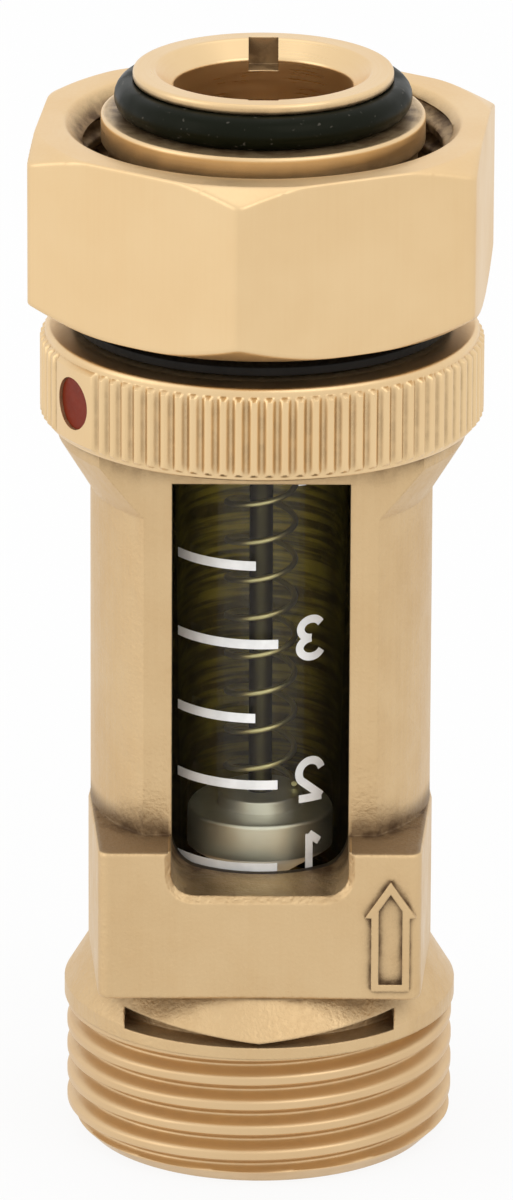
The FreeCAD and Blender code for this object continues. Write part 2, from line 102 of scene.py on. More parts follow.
class FlowMeterSizes(bpy.types.PropertyGroup):
    """Sizes of the dressed details"""
    thread_pitch: length("Thread pitch", "Pitch of the G 3/4 pipe thread, 14 per inch", 1.814)
    thread_depth: length("Thread depth", "Depth of the pipe thread", 0.95)
    knurl_roundness: bpy.props.FloatProperty(
        name="Knurl roundness", description="0 for flat-sided flutes, 1 for rounded ones",
        default=0.7, min=0.0, max=1.0, subtype="FACTOR")
    mark_height: length("Scale mark height", "Thickness of a printed scale mark", 0.66)
    number_height: length("Number height", "Height of the printed numbers", 3.25)
    print_thickness: length("Print thickness", "Thickness of the printed marks", 0.03)
    brass_edge: length("Brass edge radius", "Radius of the broken edges of turned brass", 0.14)
    spring_wire: length("Spring wire", "Diameter of the float spring's wire", 0.4)


class FlowMeterColours(bpy.types.PropertyGroup):
    """Colours of the dressed surfaces"""
    forged: colour("Forged brass", "Fine-blasted forging", 0.70, 0.50, 0.275)
    turned: colour("Turned brass", "Satin turned brass", 0.84, 0.61, 0.34)
    # A darker copy of the turned brass: painted shade on the thread at the bottom of the part.
    thread: colour("Thread brass", "Duller brass of the inlet thread", 0.72, 0.51, 0.285)
    # Brown for the brass's corners: tarnish, and painted shade where the corner mask lays it on.
    tarnish_and_shade: colour("Tarnish", "Brown film in corners of the brass", 0.11, 0.058, 0.022)
    # Olive brass of the bore wall where its painted reflection is brightest.
    bore: colour("Bore", "Dull olive brass of the bore behind the tube", 0.84, 0.68, 0.15)
    glass: colour("Tube glass", "Olive tint of the tube", 0.96, 0.96, 0.88)
    steel: colour("Float steel", "Satin steel of the float", 0.93, 0.92, 0.87)
    wire: colour("Spring wire", "Drawn wire of the spring and rings", 0.72, 0.66, 0.38)
    rod: colour("Guide rod", "Oxidised steel of the guide rod", 0.09, 0.08, 0.04)
    rubber: colour("Rubber", "Greased black rubber", 0.003, 0.005, 0.002)
    plastic: colour("Black plastic", "Matt black plastic", 0.018, 0.017, 0.016)
    dot: colour("Position dot", "Red paint of the position dot", 0.20, 0.022, 0.006)
    print_white: colour("Print", "White print of the scale", 0.96, 0.96, 0.94)
    floor: colour("Floor", "Pale studio floor", 0.86, 0.86, 0.86)


def sizes():
    return bpy.context.scene.flow_meter_sizes


def colours():
    return bpy.context.scene.flow_meter_colours


# ---- surfaces ----
SHARP = 38.0


def grid_faces(rows, columns, wrap_rows, cap_ends):
    """Quads between neighbouring points of a grid whose rows are rings.

    With wrap_rows the last row joins the first; with cap_ends the first and the last row
    each close with one polygon.
    """
    index = np.arange(rows * columns).reshape(rows, columns)
    if wrap_rows:
        index = np.vstack([index, index[:1]])
    index = np.hstack([index, index[:, :1]])
    quads = np.stack([index[:-1, :-1], index[1:, :-1], index[1:, 1:], index[:-1, 1:]], axis=-1)
    faces = quads.reshape(-1, 4).tolist()
    if cap_ends:
        faces.append(np.arange(columns).tolist())
        faces.append(np.arange(rows * columns - 1, (rows - 1) * columns - 1, -1).tolist())
    return faces


def new_object(name, data):
    obj = bpy.data.objects.new(name, data)
    bpy.context.scene.collection.objects.link(obj)
    return obj


def smooth_but_edges(mesh, sharp=SHARP):
    """Smooth shading, with edges sharper than the angle in degrees kept crisp."""
    mesh.shade_smooth()
    mesh.set_sharp_from_angle(angle=radians(sharp))


def shell(name, points, wrap_rows=False, cap_ends=False, sharp=SHARP):
    """Closed mesh from rows of points in millimetres, its faces outwards.

    Each row is a ring; the rows either join into a ring themselves or end in a cap.
    """
    rows, columns = points.shape[:2]
    mesh = bpy.data.meshes.new(name)
    faces = grid_faces(rows, columns, wrap_rows, cap_ends)
    mesh.from_pydata((points.reshape(-1, 3) * MM).tolist(), [], faces)
    point_outwards(mesh)
    smooth_but_edges(mesh, sharp)
    return new_object(name, mesh)


def point_outwards(mesh):
    """Turns all faces round if the volume they enclose comes out negative."""
    mesh.calc_loop_triangles()
    corners = np.empty(len(mesh.loop_triangles) * 3, np.int32)
    mesh.loop_triangles.foreach_get("vertices", corners)
    spots = np.empty(len(mesh.vertices) * 3)
    mesh.vertices.foreach_get("co", spots)
    a, b, c = spots.reshape(-1, 3)[corners.reshape(-1, 3)].transpose(1, 0, 2)
    if np.einsum("ij,ij->i", a, np.cross(b, c)).sum() < 0:
        mesh.flip_normals()


def round_points(radius, angle, height):
    """Points (r cos a, r sin a, h), one row for each angle."""
    return np.stack([radius * np.cos(angle), radius * np.sin(angle),
                     np.broadcast_to(height, radius.shape)], axis=-1)


def full_turn(count):
    """Angles that divide a whole turn evenly."""
    return np.arange(count) / count * TAU


def rounded(corners, reach, steps=4):
    """Closed outline with its corners rounded.

    Each corner C gives way to the curve (1-s)^2 A + 2s(1-s) C + s^2 B, where A and B lie
    at the reach from C along its two sides. The reach is cut short on a short side, and a
    point just outside A and B keeps the flats flat.
    """
    longest_share, past = 0.38, 1.25
    corners = np.asarray(corners, float)
    to_last = np.roll(corners, 1, axis=0) - corners
    to_next = np.roll(corners, -1, axis=0) - corners
    last_length = np.linalg.norm(to_last, axis=1)[:, None]
    next_length = np.linalg.norm(to_next, axis=1)[:, None]
    shortest = np.minimum(last_length, next_length)
    cut = np.minimum(np.broadcast_to(reach, len(corners))[:, None], longest_share * shortest)
    last_step = to_last / last_length * cut
    next_step = to_next / next_length * cut
    a = (corners + last_step)[:, None]
    b = (corners + next_step)[:, None]
    s = np.linspace(0, 1, steps + 1)[None, :, None]
    curve = (1 - s) ** 2 * a + 2 * s * (1 - s) * corners[:, None] + s ** 2 * b
    outside_a = (corners + last_step * past)[:, None]
    outside_b = (corners + next_step * past)[:, None]
    return np.concatenate([outside_a, curve, outside_b], axis=1).reshape(-1, 2)


def turned(outline, spokes):
    """Full revolution: the point (r, z) goes to (r cos a, r sin a, z) for each angle a."""
    outline = np.asarray(outline, float)
    radius = np.broadcast_to(outline[:, 0], (spokes, len(outline)))
    return round_points(radius, full_turn(spokes)[:, None], outline[:, 1])


def smooth_step(value, low, high):
    """0 below low, 1 above high, 3t^2 - 2t^3 between."""
    t = np.clip((value - low) / (high - low), 0, 1)
    return t * t * (3 - 2 * t)


def on_cylinder(radius, along, height):
    """Point at an arc length along the window side of a cylinder and at a height."""
    turn = along / radius
    return np.stack([radius * np.sin(turn), -radius * np.cos(turn), height], axis=-1)


def carved(obj, cutter):
    """obj less the cutter, as a plain mesh; the cutter is removed."""
    cut = obj.modifiers.new("carve", "BOOLEAN")
    cut.operation = "DIFFERENCE"
    cut.solver = "EXACT"
    cut.object = cutter
    graph = bpy.context.evaluated_depsgraph_get()
    result = bpy.data.meshes.new_from_object(obj.evaluated_get(graph))
    obj.modifiers.remove(cut)
    obj.data = result
    smooth_but_edges(result)
    bpy.data.objects.remove(cutter)
    return obj


def keep_flats(obj):
    """Weights the shading by face area, so that flats next to small curves stay flat."""
    weighted = obj.modifiers.new("flats", "WEIGHTED_NORMAL")
    weighted.keep_sharp = True
    weighted.weight = 80


def settle(obj, body, slot, finish, *nodes):
    """Gives a finished piece its material and body, and hides the CAD nodes it stands for; the
    slot is not used.
    """
    obj.data.materials.clear()
    obj.data.materials.append(bpy.data.materials[finish])
    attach(obj, body)
    if nodes:
        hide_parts(*nodes)
    return obj


# ---- shader building blocks ----
def fill(tree, node, values):
    """Feeds a node's inputs: a socket given as a value is linked, anything else is set."""
    for key, value in values.items():
        if isinstance(value, bpy.types.NodeSocket):
            tree.links.new(value, node.inputs[key])
        else:
            node.inputs[key].default_value = value


def put(tree, kind, values=None, **settings):
    """Adds a node with its settings and its inputs."""
    node = tree.nodes.new(kind)
    for name, value in settings.items():
        setattr(node, name, value)
    fill(tree, node, values or {})
    return node


def calc(tree, operation, first, second=0.0, clamp=False):
    values = {0: first, 1: second}
    return put(tree, "ShaderNodeMath", values, operation=operation, use_clamp=clamp).outputs[0]


def product(tree, first, second):
    return calc(tree, "MULTIPLY", first, second)


def blend_colours(tree, amount, first, second):
    """First colour at amount 0, second at 1; 6, 7 and output 2 are the mix node's colours."""
    node = put(tree, "ShaderNodeMix", {0: amount, 6: first, 7: second}, data_type="RGBA")
    return node.outputs[2]


def map_range(tree, value, low, high, to_low, to_high, smooth=True):
    kind = "SMOOTHSTEP" if smooth else "LINEAR"
    values = {0: value, 1: low, 2: high, 3: to_low, 4: to_high}
    return put(tree, "ShaderNodeMapRange", values, interpolation_type=kind).outputs[0]


def new_group(name, inputs, outputs):
    """Node group with named sockets; returns its tree, input node and output node."""
    tree = bpy.data.node_groups.new(name, "ShaderNodeTree")
    for label, kind, default in inputs:
        socket = tree.interface.new_socket(name=label, in_out="INPUT", socket_type=kind)
        socket.default_value = default
    for label, kind in outputs:
        tree.interface.new_socket(name=label, in_out="OUTPUT", socket_type=kind)
    return tree, tree.nodes.new("NodeGroupInput"), tree.nodes.new("NodeGroupOutput")


def use_group(tree, name, values):
    """Places a shader group and feeds its inputs."""
    node = put(tree, "ShaderNodeGroup", node_tree=bpy.data.node_groups[name])
    fill(tree, node, values)
    return node


FLOAT = "NodeSocketFloat"
NORMAL = "NodeSocketVector"


def object_place(tree):
    return put(tree, "ShaderNodeTexCoord").outputs["Object"]


def polar_parts(tree):
    """Object coordinates as radius from the axis, angle and height."""
    x, y, z = put(tree, "ShaderNodeSeparateXYZ", {0: object_place(tree)}).outputs
    square = calc(tree, "ADD", product(tree, x, x), product(tree, y, y))
    return calc(tree, "SQRT", square), calc(tree, "ARCTAN2", y, x), z


def noise(tree, place, scale, detail, roughness=0.5):
    values = {"Vector": place, "Scale": scale, "Detail": detail, "Roughness": roughness}
    return put(tree, "ShaderNodeTexNoise", values).outputs[0]


def build_lathe_marks():
    """Fine rings round the axis: noise on (radius, height) that wavers little with the angle."""
    tree, entry, leave = new_group("lathe_marks", [("Spacing", FLOAT, 0.00015)],
                                   [("Lines", FLOAT)])
    radius, angle, height = polar_parts(tree)
    spacing = entry.outputs["Spacing"]
    vector = put(tree, "ShaderNodeCombineXYZ", {
        0: calc(tree, "DIVIDE", radius, spacing), 1: product(tree, angle, 0.8),
        2: calc(tree, "DIVIDE", height, spacing)}).outputs[0]
    fill(tree, leave, {"Lines": noise(tree, vector, 1.0, 2.0, 0.6)})


def build_drawn_lines():
    """Lines along the part's length, as on drawn bar: noise stretched along Z."""
    tree, entry, leave = new_group("drawn_lines", [("Spacing", FLOAT, 0.0003)],
                                   [("Lines", FLOAT)])
    scale = calc(tree, "DIVIDE", 1.0, entry.outputs["Spacing"])
    stretched = put(tree, "ShaderNodeVectorMath", {0: object_place(tree), 1: (1.0, 1.0, 0.025)},
                    operation="MULTIPLY").outputs[0]
    fill(tree, leave, {"Lines": noise(tree, stretched, scale, 3.0, 0.65)})


def build_blasted_grain():
    """Fine pits of a blasted forging over a soft unevenness."""
    tree, entry, leave = new_group("blasted_grain", [("Grain", FLOAT, 0.0003)],
                                   [("Height", FLOAT), ("Mottle", FLOAT)])
    place = object_place(tree)
    scale = calc(tree, "DIVIDE", 1.0, entry.outputs["Grain"])
    fine = noise(tree, place, scale, 3.0, 0.6)
    coarse = noise(tree, place, product(tree, scale, 0.16), 2.0)
    height = calc(tree, "ADD", fine, product(tree, coarse, 1.6))
    mottle = calc(tree, "ADD", product(tree, fine, 0.4), product(tree, coarse, 0.6))
    fill(tree, leave, {"Height": height, "Mottle": mottle})


def build_corner_shade():
    """Mask of painted shade in inner corners and grooves: what lies close in front of the surface,
    with noise.
    """
    tree, entry, leave = new_group("corner_shade", [("Reach", FLOAT, 0.001),
                                                   ("Amount", FLOAT, 1.0)], [("Mask", FLOAT)])
    near = put(tree, "ShaderNodeAmbientOcclusion", {"Distance": entry.outputs["Reach"]},
               samples=8).outputs["AO"]
    hidden = map_range(tree, calc(tree, "SUBTRACT", 1.0, near), 0.08, 0.42, 0.0, 1.0)
    spots = noise(tree, object_place(tree), 900.0, 3.0)
    uneven = map_range(tree, spots, 0.35, 0.65, 0.65, 1.0)
    mask = calc(tree, "MULTIPLY", product(tree, hidden, uneven), entry.outputs["Amount"],
                clamp=True)
    fill(tree, leave, {"Mask": mask})


def build_soft_edge():
    """Rounded normal at edges, and a mask of those edges, which the brass lightens as burnished
    wear and partly as a painted highlight.
    """
    tree, entry, leave = new_group("soft_edge", [("Radius", FLOAT, 0.0001)],
                                   [("Normal", NORMAL), ("Mask", FLOAT)])
    round_normal = put(tree, "ShaderNodeBevel", {"Radius": entry.outputs["Radius"]},
                       samples=6).outputs[0]
    plain = put(tree, "ShaderNodeNewGeometry").outputs["Normal"]
    agree = put(tree, "ShaderNodeVectorMath", {0: round_normal, 1: plain},
                operation="DOT_PRODUCT").outputs["Value"]
    mask = map_range(tree, calc(tree, "SUBTRACT", 1.0, agree), 0.02, 0.25, 0.0, 1.0)
    fill(tree, leave, {"Normal": round_normal, "Mask": mask})


def bump(tree, relief, normal=None):
    """Normal of a relief given in metres, over another normal if there is one."""
    values = {"Strength": 1.0, "Distance": 1.0, "Height": relief}
    if normal:
        values["Normal"] = normal
    return put(tree, "ShaderNodeBump", values).outputs[0]


def new_material(name):
    if name in bpy.data.materials:
        raise ValueError(f"there is already a material called {name}")
    material = bpy.data.materials.new(name)
    material.use_nodes = True
    tree = material.node_tree
    tree.nodes.clear()
    surface = put(tree, "ShaderNodeBsdfPrincipled")
    leave = put(tree, "ShaderNodeOutputMaterial", {"Surface": surface.outputs[0]})
    return tree, surface, leave


def mix_surface(tree, leave, amount, first, second):
    """Leads to the output the first shader at amount 0 and the second at 1."""
    values = {0: amount, 1: first.outputs[0], 2: second.outputs[0]}
    mixed = put(tree, "ShaderNodeMixShader", values)
    fill(tree, leave, {"Surface": mixed.outputs[0]})


def rgba(value, *dimmed):
    """The colour with alpha 1, its channels times the factors if they are given."""
    factors = dimmed or (1.0, 1.0, 1.0)
    return tuple(min(channel * factor, 1.0) for channel, factor in zip(value, factors)) + (1.0,)


# Levels and widths on the forging, in metres, as the shaders measure it.
BOSS_LOW, BOSS_TOP = 0.0132, 0.0238
LEDGE_HALF_GAP = 0.0062
BORE_R, BORE_LOW, BORE_TOP = 0.0074, 0.0162, 0.0513
# Painted shade deep in the bore behind the tube.
BORE_SHADE = (0.03, 0.02, 0.02, 1.0)


def ledge_shade(tree, shade_and_tarnish):
    """The corner mask kept weaker below the boss, with a band of painted shade along the boss's
    top ledge.
    """
    radius, angle, height = polar_parts(tree)
    across = calc(tree, "ABSOLUTE", product(tree, radius, calc(tree, "COSINE", angle)))
    # Painted shade in a band on the ledge beside the window.
    start = map_range(tree, height, BOSS_TOP - 0.00014, BOSS_TOP - 0.00004, 0.0, 0.72)
    end = map_range(tree, height, BOSS_TOP + 0.0003, BOSS_TOP + 0.0017, 1.0, 0.0)
    beside = calc(tree, "GREATER_THAN", across, LEDGE_HALF_GAP)
    band = product(tree, product(tree, start, end), beside)
    low = map_range(tree, height, BOSS_LOW - 0.0003, BOSS_LOW + 0.0005, 0.45, 1.0)
    return calc(tree, "MAXIMUM", product(tree, shade_and_tarnish, low), band)


def bore_shade_and_reflection(tree, tone):
    """Painted shade and a streaked olive painted reflection on the wall behind the tube, lighter
    higher up and towards the back, and the mask of the tube's chamber.
    """
    radius, angle, height = polar_parts(tree)
    between = product(tree, calc(tree, "GREATER_THAN", height, BORE_LOW),
                      calc(tree, "LESS_THAN", height, BORE_TOP))
    inside = product(tree, calc(tree, "LESS_THAN", radius, BORE_R), between)
    streaks = use_group(tree, "lathe_marks", {"Spacing": 0.0005}).outputs["Lines"]
    aside = calc(tree, "ABSOLUTE", calc(tree, "SUBTRACT", angle, TAU / 4))
    # Painted reflection: lighter higher up and towards the back of the bore.
    painted_reflection = product(tree, map_range(tree, streaks, 0.38, 0.62, 0.25, 1.0),
                   map_range(tree, height, 0.026, 0.044, 0.5, 1.0))
    painted_reflection = product(tree, painted_reflection, map_range(tree, aside, 0.35, 1.0, 1.0, 0.12))
    olive = blend_colours(tree, painted_reflection, BORE_SHADE, rgba(colours().bore))
    return blend_colours(tree, inside, tone, olive), inside


def brass(name, base, roughness, lines, spacing, darkening, reach, line_depth=0.000004,
          grain=0.0, edge=0.00009, forged=False):
    """Brass with its machining lines, blasted grain, tarnish and painted shade in corners, and
    edges lightened by wear and a painted highlight.

    The forged body also has painted shade along its ledge, and painted shade and an olive painted
    reflection on the wall of its bore.
    """
    tree, surface, _ = new_material(name)
    rim = use_group(tree, "soft_edge", {"Radius": edge})
    # Corner mask: painted shade in corners and grooves, partly tarnish.
    shade_and_tarnish = use_group(tree, "corner_shade", {"Reach": reach, "Amount": darkening}).outputs["Mask"]
    if forged:
        shade_and_tarnish = ledge_shade(tree, shade_and_tarnish)
    patches = noise(tree, object_place(tree), 140.0, 4.0)
    tone = blend_colours(tree, map_range(tree, patches, 0.3, 0.7, 0.0, 0.16), rgba(base),
                         rgba(base, 0.80, 0.72, 0.60))
    # Edges lightened: burnished wear, partly a painted highlight.
    tone = blend_colours(tree, product(tree, rim.outputs["Mask"], 0.2), tone,
                         rgba(base, 1.1, 1.1, 1.1))
    # Corners darkened to brown: painted shade and tarnish.
    tone = blend_colours(tree, shade_and_tarnish, tone, rgba(colours().tarnish_and_shade))
    rough = map_range(tree, patches, 0.3, 0.7, roughness - 0.03, roughness + 0.05)
    rough = calc(tree, "ADD", rough, product(tree, shade_and_tarnish, 0.15))
    marks = use_group(tree, lines, {"Spacing": spacing}).outputs["Lines"]
    relief = product(tree, marks, line_depth)
    rough = calc(tree, "ADD", rough, map_range(tree, marks, 0.3, 0.7, -0.035, 0.035))
    if grain:
        pits = use_group(tree, "blasted_grain", {"Grain": 0.00028})
        relief = calc(tree, "ADD", relief, product(tree, pits.outputs["Height"], grain))
        spread = map_range(tree, pits.outputs["Mottle"], 0.3, 0.7, -0.05, 0.06)
        rough = calc(tree, "ADD", rough, spread)
    metallic = calc(tree, "SUBTRACT", 1.0, product(tree, shade_and_tarnish, 0.5))
    if forged:
        tone, inside = bore_shade_and_reflection(tree, tone)
        rough = calc(tree, "ADD", rough, product(tree, inside, 0.12))
    fill(tree, surface, {"Base Color": tone, "Roughness": rough, "Metallic": metallic,
                         "Normal": bump(tree, relief, rim.outputs["Normal"])})


def steel(name, base, roughness, lines, spacing):
    """Steel with drawn or turned lines and a slight unevenness."""
    tree, surface, _ = new_material(name)
    marks = use_group(tree, lines, {"Spacing": spacing}).outputs["Lines"]
    patches = noise(tree, object_place(tree), 400.0, 3.0)
    tone = blend_colours(tree, map_range(tree, patches, 0.3, 0.7, 0.0, 0.3), rgba(base),
                         rgba(base, 0.75, 0.75, 0.75))
    rough = map_range(tree, marks, 0.3, 0.7, roughness - 0.05, roughness + 0.06)
    fill(tree, surface, {"Base Color": tone, "Roughness": rough, "Metallic": 1.0,
                         "Normal": bump(tree, product(tree, marks, 0.000004))})


def rubber():
    """Moulded rubber with a thin film of grease and a few specks of dust."""
    tree, surface, _ = new_material("greased_rubber")
    place = object_place(tree)
    grease = noise(tree, place, 350.0, 3.0)
    specks = noise(tree, place, 2600.0, 1.0)
    dust = map_range(tree, specks, 0.68, 0.78, 0.0, 0.5)
    tone = blend_colours(tree, dust, rgba(colours().rubber), (0.12, 0.11, 0.09, 1.0))
    fill(tree, surface, {"Base Color": tone,
                         "Roughness": map_range(tree, grease, 0.35, 0.65, 0.30, 0.5),
                         "Normal": bump(tree, product(tree, grease, 0.00003))})
    surface.inputs["Specular IOR Level"].default_value = 0.12
    surface.inputs["Specular Tint"].default_value = (1.0, 0.92, 0.75, 1.0)


def plastic(name, base, low_rough, high_rough, pit_depth):
    """Moulded or painted plastic with a fine skin."""
    tree, surface, _ = new_material(name)
    place = object_place(tree)
    skin = noise(tree, place, 3200.0, 2.0)
    patches = noise(tree, place, 600.0, 3.0)
    tone = blend_colours(tree, map_range(tree, patches, 0.35, 0.65, 0.0, 0.35), rgba(base),
                         rgba(base, 0.6, 0.6, 0.6))
    fill(tree, surface, {"Base Color": tone,
                         "Roughness": map_range(tree, skin, 0.35, 0.65, low_rough, high_rough),
                         "Normal": bump(tree, product(tree, skin, pit_depth))})
    surface.inputs["Specular IOR Level"].default_value = 0.1


def glass():
    """Clear tube glass with a faint tint and a slightly wavy drawn surface.

    Shadow and diffuse rays pass straight through, so that the bore behind it is lit.
    """
    tree, surface, leave = new_material("clear_glass")
    tint = rgba(colours().glass)
    waves = noise(tree, object_place(tree), 160.0, 1.0)
    fill(tree, surface, {"Roughness": map_range(tree, waves, 0.35, 0.65, 0.0, 0.03),
                         "Normal": bump(tree, product(tree, waves, 0.00004))})
    surface.inputs["Base Color"].default_value = tint
    surface.inputs["Transmission Weight"].default_value = 1.0
    surface.inputs["IOR"].default_value = 1.40
    surface.inputs["Specular Tint"].default_value = (0.45, 0.41, 0.40, 1.0)
    clear = put(tree, "ShaderNodeBsdfTransparent", {0: tint})
    rays = put(tree, "ShaderNodeLightPath")
    through = calc(tree, "MAXIMUM", rays.outputs["Is Shadow Ray"], rays.outputs["Is Diffuse Ray"])
    mix_surface(tree, leave, through, surface, clear)


class FLOWMETER_OT_finishes(bpy.types.Operator):
    """Make the metal, glass, rubber, plastic and print finishes"""
    bl_idname = "flow_meter.finishes"
    bl_label = "Finishes"

    def execute(self, context):
        shades = colours()
        build_lathe_marks()
        build_drawn_lines()
        build_blasted_grain()
        build_corner_shade()
        build_soft_edge()
        brass("blasted_brass", shades.forged, 0.42, lines="drawn_lines", spacing=0.00035,
              line_depth=0.000003, grain=0.000060, darkening=1.0, reach=0.0036, edge=0.00022,
              forged=True)
        # Darker brass on the thread: painted shade at the bottom.
        brass("shaded_thread_brass", shades.thread, 0.38, lines="lathe_marks", spacing=0.00016,
              darkening=0.12, reach=0.0011)
        brass("nut_brass", shades.turned, 0.40, lines="drawn_lines", spacing=0.00030,
              line_depth=0.000005, darkening=1.0, reach=0.0026, edge=0.00003)
        brass("satin_brass", shades.turned, 0.32, lines="lathe_marks", spacing=0.00014,
              darkening=0.9, reach=0.0020)
        brass("knurl_brass", shades.turned, 0.34, lines="drawn_lines", spacing=0.00025,
              line_depth=0.000003, darkening=0.7, reach=0.0006, edge=0.00005)
        steel("satin_steel", shades.steel, 0.50, "lathe_marks", 0.00015)
        steel("drawn_wire", shades.wire, 0.42, "drawn_lines", 0.00010)
        steel("oxidised_steel", shades.rod, 0.5, "drawn_lines", 0.00010)
        rubber()
        plastic("matt_plastic", shades.plastic, 0.45, 0.6, 0.000006)
        plastic("dot_paint", shades.dot, 0.28, 0.42, 0.000004)
        plastic("print_ink", shades.print_white, 0.45, 0.6, 0.000001)
        glass()
        return {"FINISHED"}


# ---- inlet side: body and thread ----
THREAD_R = 13.22
THREAD_TOP = 9.38
THREAD_CHAMFER = 1.3
THREAD_PHASE = 8.65
THREAD_FADE = 0.35
THREAD_SPOKES, THREAD_ROWS = 288, 110
FLANK_START, FLANK_WIDTH, FLANK_ROUNDNESS = 0.04, 0.72, 0.75
INLET_BORE_R = 8.0
INLET_EDGE_R = 8.5


def thread_form(angle, height, pitch, groove_height):
    """Pipe thread: 1 on the crest and 0 in the groove of a helix.

    The distance along the axis from the nearest groove is taken as a share of half the
    pitch. The flank rises over the part of it that the flank's start and width give, partly
    straight and partly as 3t^2 - 2t^3, which rounds its foot and its shoulder.
    """
    turn = (angle + np.pi / 2) / TAU
    share = np.mod((height - groove_height) / pitch - turn, 1.0)
    distance = 1 - np.abs(1 - 2 * share)
    flank = np.clip((distance - FLANK_START) / FLANK_WIDTH, 0, 1)
    curved = flank * flank * (3 - 2 * flank)
    return (1 - FLANK_ROUNDNESS) * flank + FLANK_ROUNDNESS * curved


def body_without_thread():
    """Merged copy of the CAD body above the thread, its cut closed."""
    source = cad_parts["body"].data
    work = bmesh.new()
    work.from_mesh(source)
    bmesh.ops.remove_doubles(work, verts=work.verts, dist=0.002 * MM)
    bmesh.ops.bisect_plane(work, geom=work.verts[:] + work.edges[:] + work.faces[:],
                           plane_co=(0, 0, THREAD_TOP * MM), plane_no=(0, 0, 1),
                           clear_inner=True)
    open_edges = [edge for edge in work.edges if edge.is_boundary]
    bmesh.ops.triangle_fill(work, edges=open_edges, use_beauty=True, normal=(0, 0, -1))
    bmesh.ops.recalc_face_normals(work, faces=work.faces)
    mesh = bpy.data.meshes.new("body_shell")
    work.to_mesh(mesh)
    work.free()
    # The stored normals no longer fit the merged corners.
    mesh.attributes.remove(mesh.attributes["custom_normal"])
    smooth_but_edges(mesh, 26.0)
    return new_object("body_shell", mesh)


def inlet_thread():
    """Male thread round the inlet bore.

    Radius at an angle and a height: the crest radius less the groove depth times
    (1 - thread form), never more than the 45 degree chamfer at the end; the groove runs
    out towards the collar. Rows go up the outside, in over the top, down the bore and
    out over the end face.
    """
    size = sizes()
    depth, pitch = size.thread_depth / MM, size.thread_pitch / MM
    angle = full_turn(THREAD_SPOKES)[:, None]
    rise = np.linspace(0, THREAD_TOP, THREAD_ROWS)[None, :]
    form = thread_form(angle, rise, pitch, THREAD_PHASE)
    fade = smooth_step(THREAD_TOP - rise, 0.0, THREAD_FADE)
    crest = THREAD_R - depth * (1 - form) * fade
    chamfer = THREAD_R - THREAD_CHAMFER + rise
    outside = np.minimum(crest, chamfer)
    inner = np.array([[INLET_BORE_R, THREAD_TOP], [INLET_BORE_R, 1.0], [INLET_BORE_R, 0.6],
                      [INLET_BORE_R + 0.08, 0.42], [INLET_EDGE_R - 0.08, 0.08],
                      [INLET_EDGE_R + 0.08, 0.0]])
    radius = np.hstack([outside, np.ones_like(angle) * inner[:, 0]])
    height = np.hstack([rise[0], inner[:, 1]])
    return shell("inlet_thread", round_points(radius, angle, height), wrap_rows=True, sharp=50.0)


class FLOWMETER_OT_body(bpy.types.Operator):
    """Make the forged body above the thread and the male thread below it"""
    bl_idname = "flow_meter.body"
    bl_label = "Body and inlet thread"

    def execute(self, context):
        upper = body_without_thread()
        keep_flats(upper)
        settle(upper, "housing", "forged_brass", "blasted_brass", "body")
        settle(inlet_thread(), "housing", "forged_brass", "shaded_thread_brass", "body")
        return {"FINISHED"}


# ---- union nut ----
NUT_FLATS = 30.0
NUT_CORNER_AZIMUTH = -5.2
NUT_LOW_CIRCLE, NUT_LOW_SLOPE = 15.0, 0.65
NUT_TOP_CIRCLE, NUT_TOP_SLOPE = 15.5, 0.55
NUT_BORE_R = 12.06
NUT_WEB_R = 10.5
NUT_WEB = 2.8
NUT_LEAD = 1.3
NUT_SPOKES = 432
HEXAGON_POWER, CHAMFER_POWER = 110, 220.0


def nut_radius(angle, height):
    """Outside of the nut: the least of the hexagon and its two chamfer cones.

    Each is taken to a high negative power and the sum is rooted, which rounds the
    edges where two of them meet.
    """
    low, high = NUT_LOW[2], NUT_HIGH[2]
    normals = radians(NUT_CORNER_AZIMUTH + 30 - 90) + full_turn(6)
    facing = np.clip(np.cos(angle[..., None] - normals), 1e-3, None)
    hexagon = NUT_FLATS / 2 / (facing ** HEXAGON_POWER).sum(-1) ** (1 / HEXAGON_POWER)
    lower = NUT_LOW_CIRCLE + (height - low) / NUT_LOW_SLOPE
    upper = NUT_TOP_CIRCLE + (high - height) / NUT_TOP_SLOPE
    scale, power = NUT_FLATS / 2, CHAMFER_POWER
    total = (hexagon / scale) ** -power + (lower / scale) ** -power + (upper / scale) ** -power
    return scale * total ** (-1 / power)


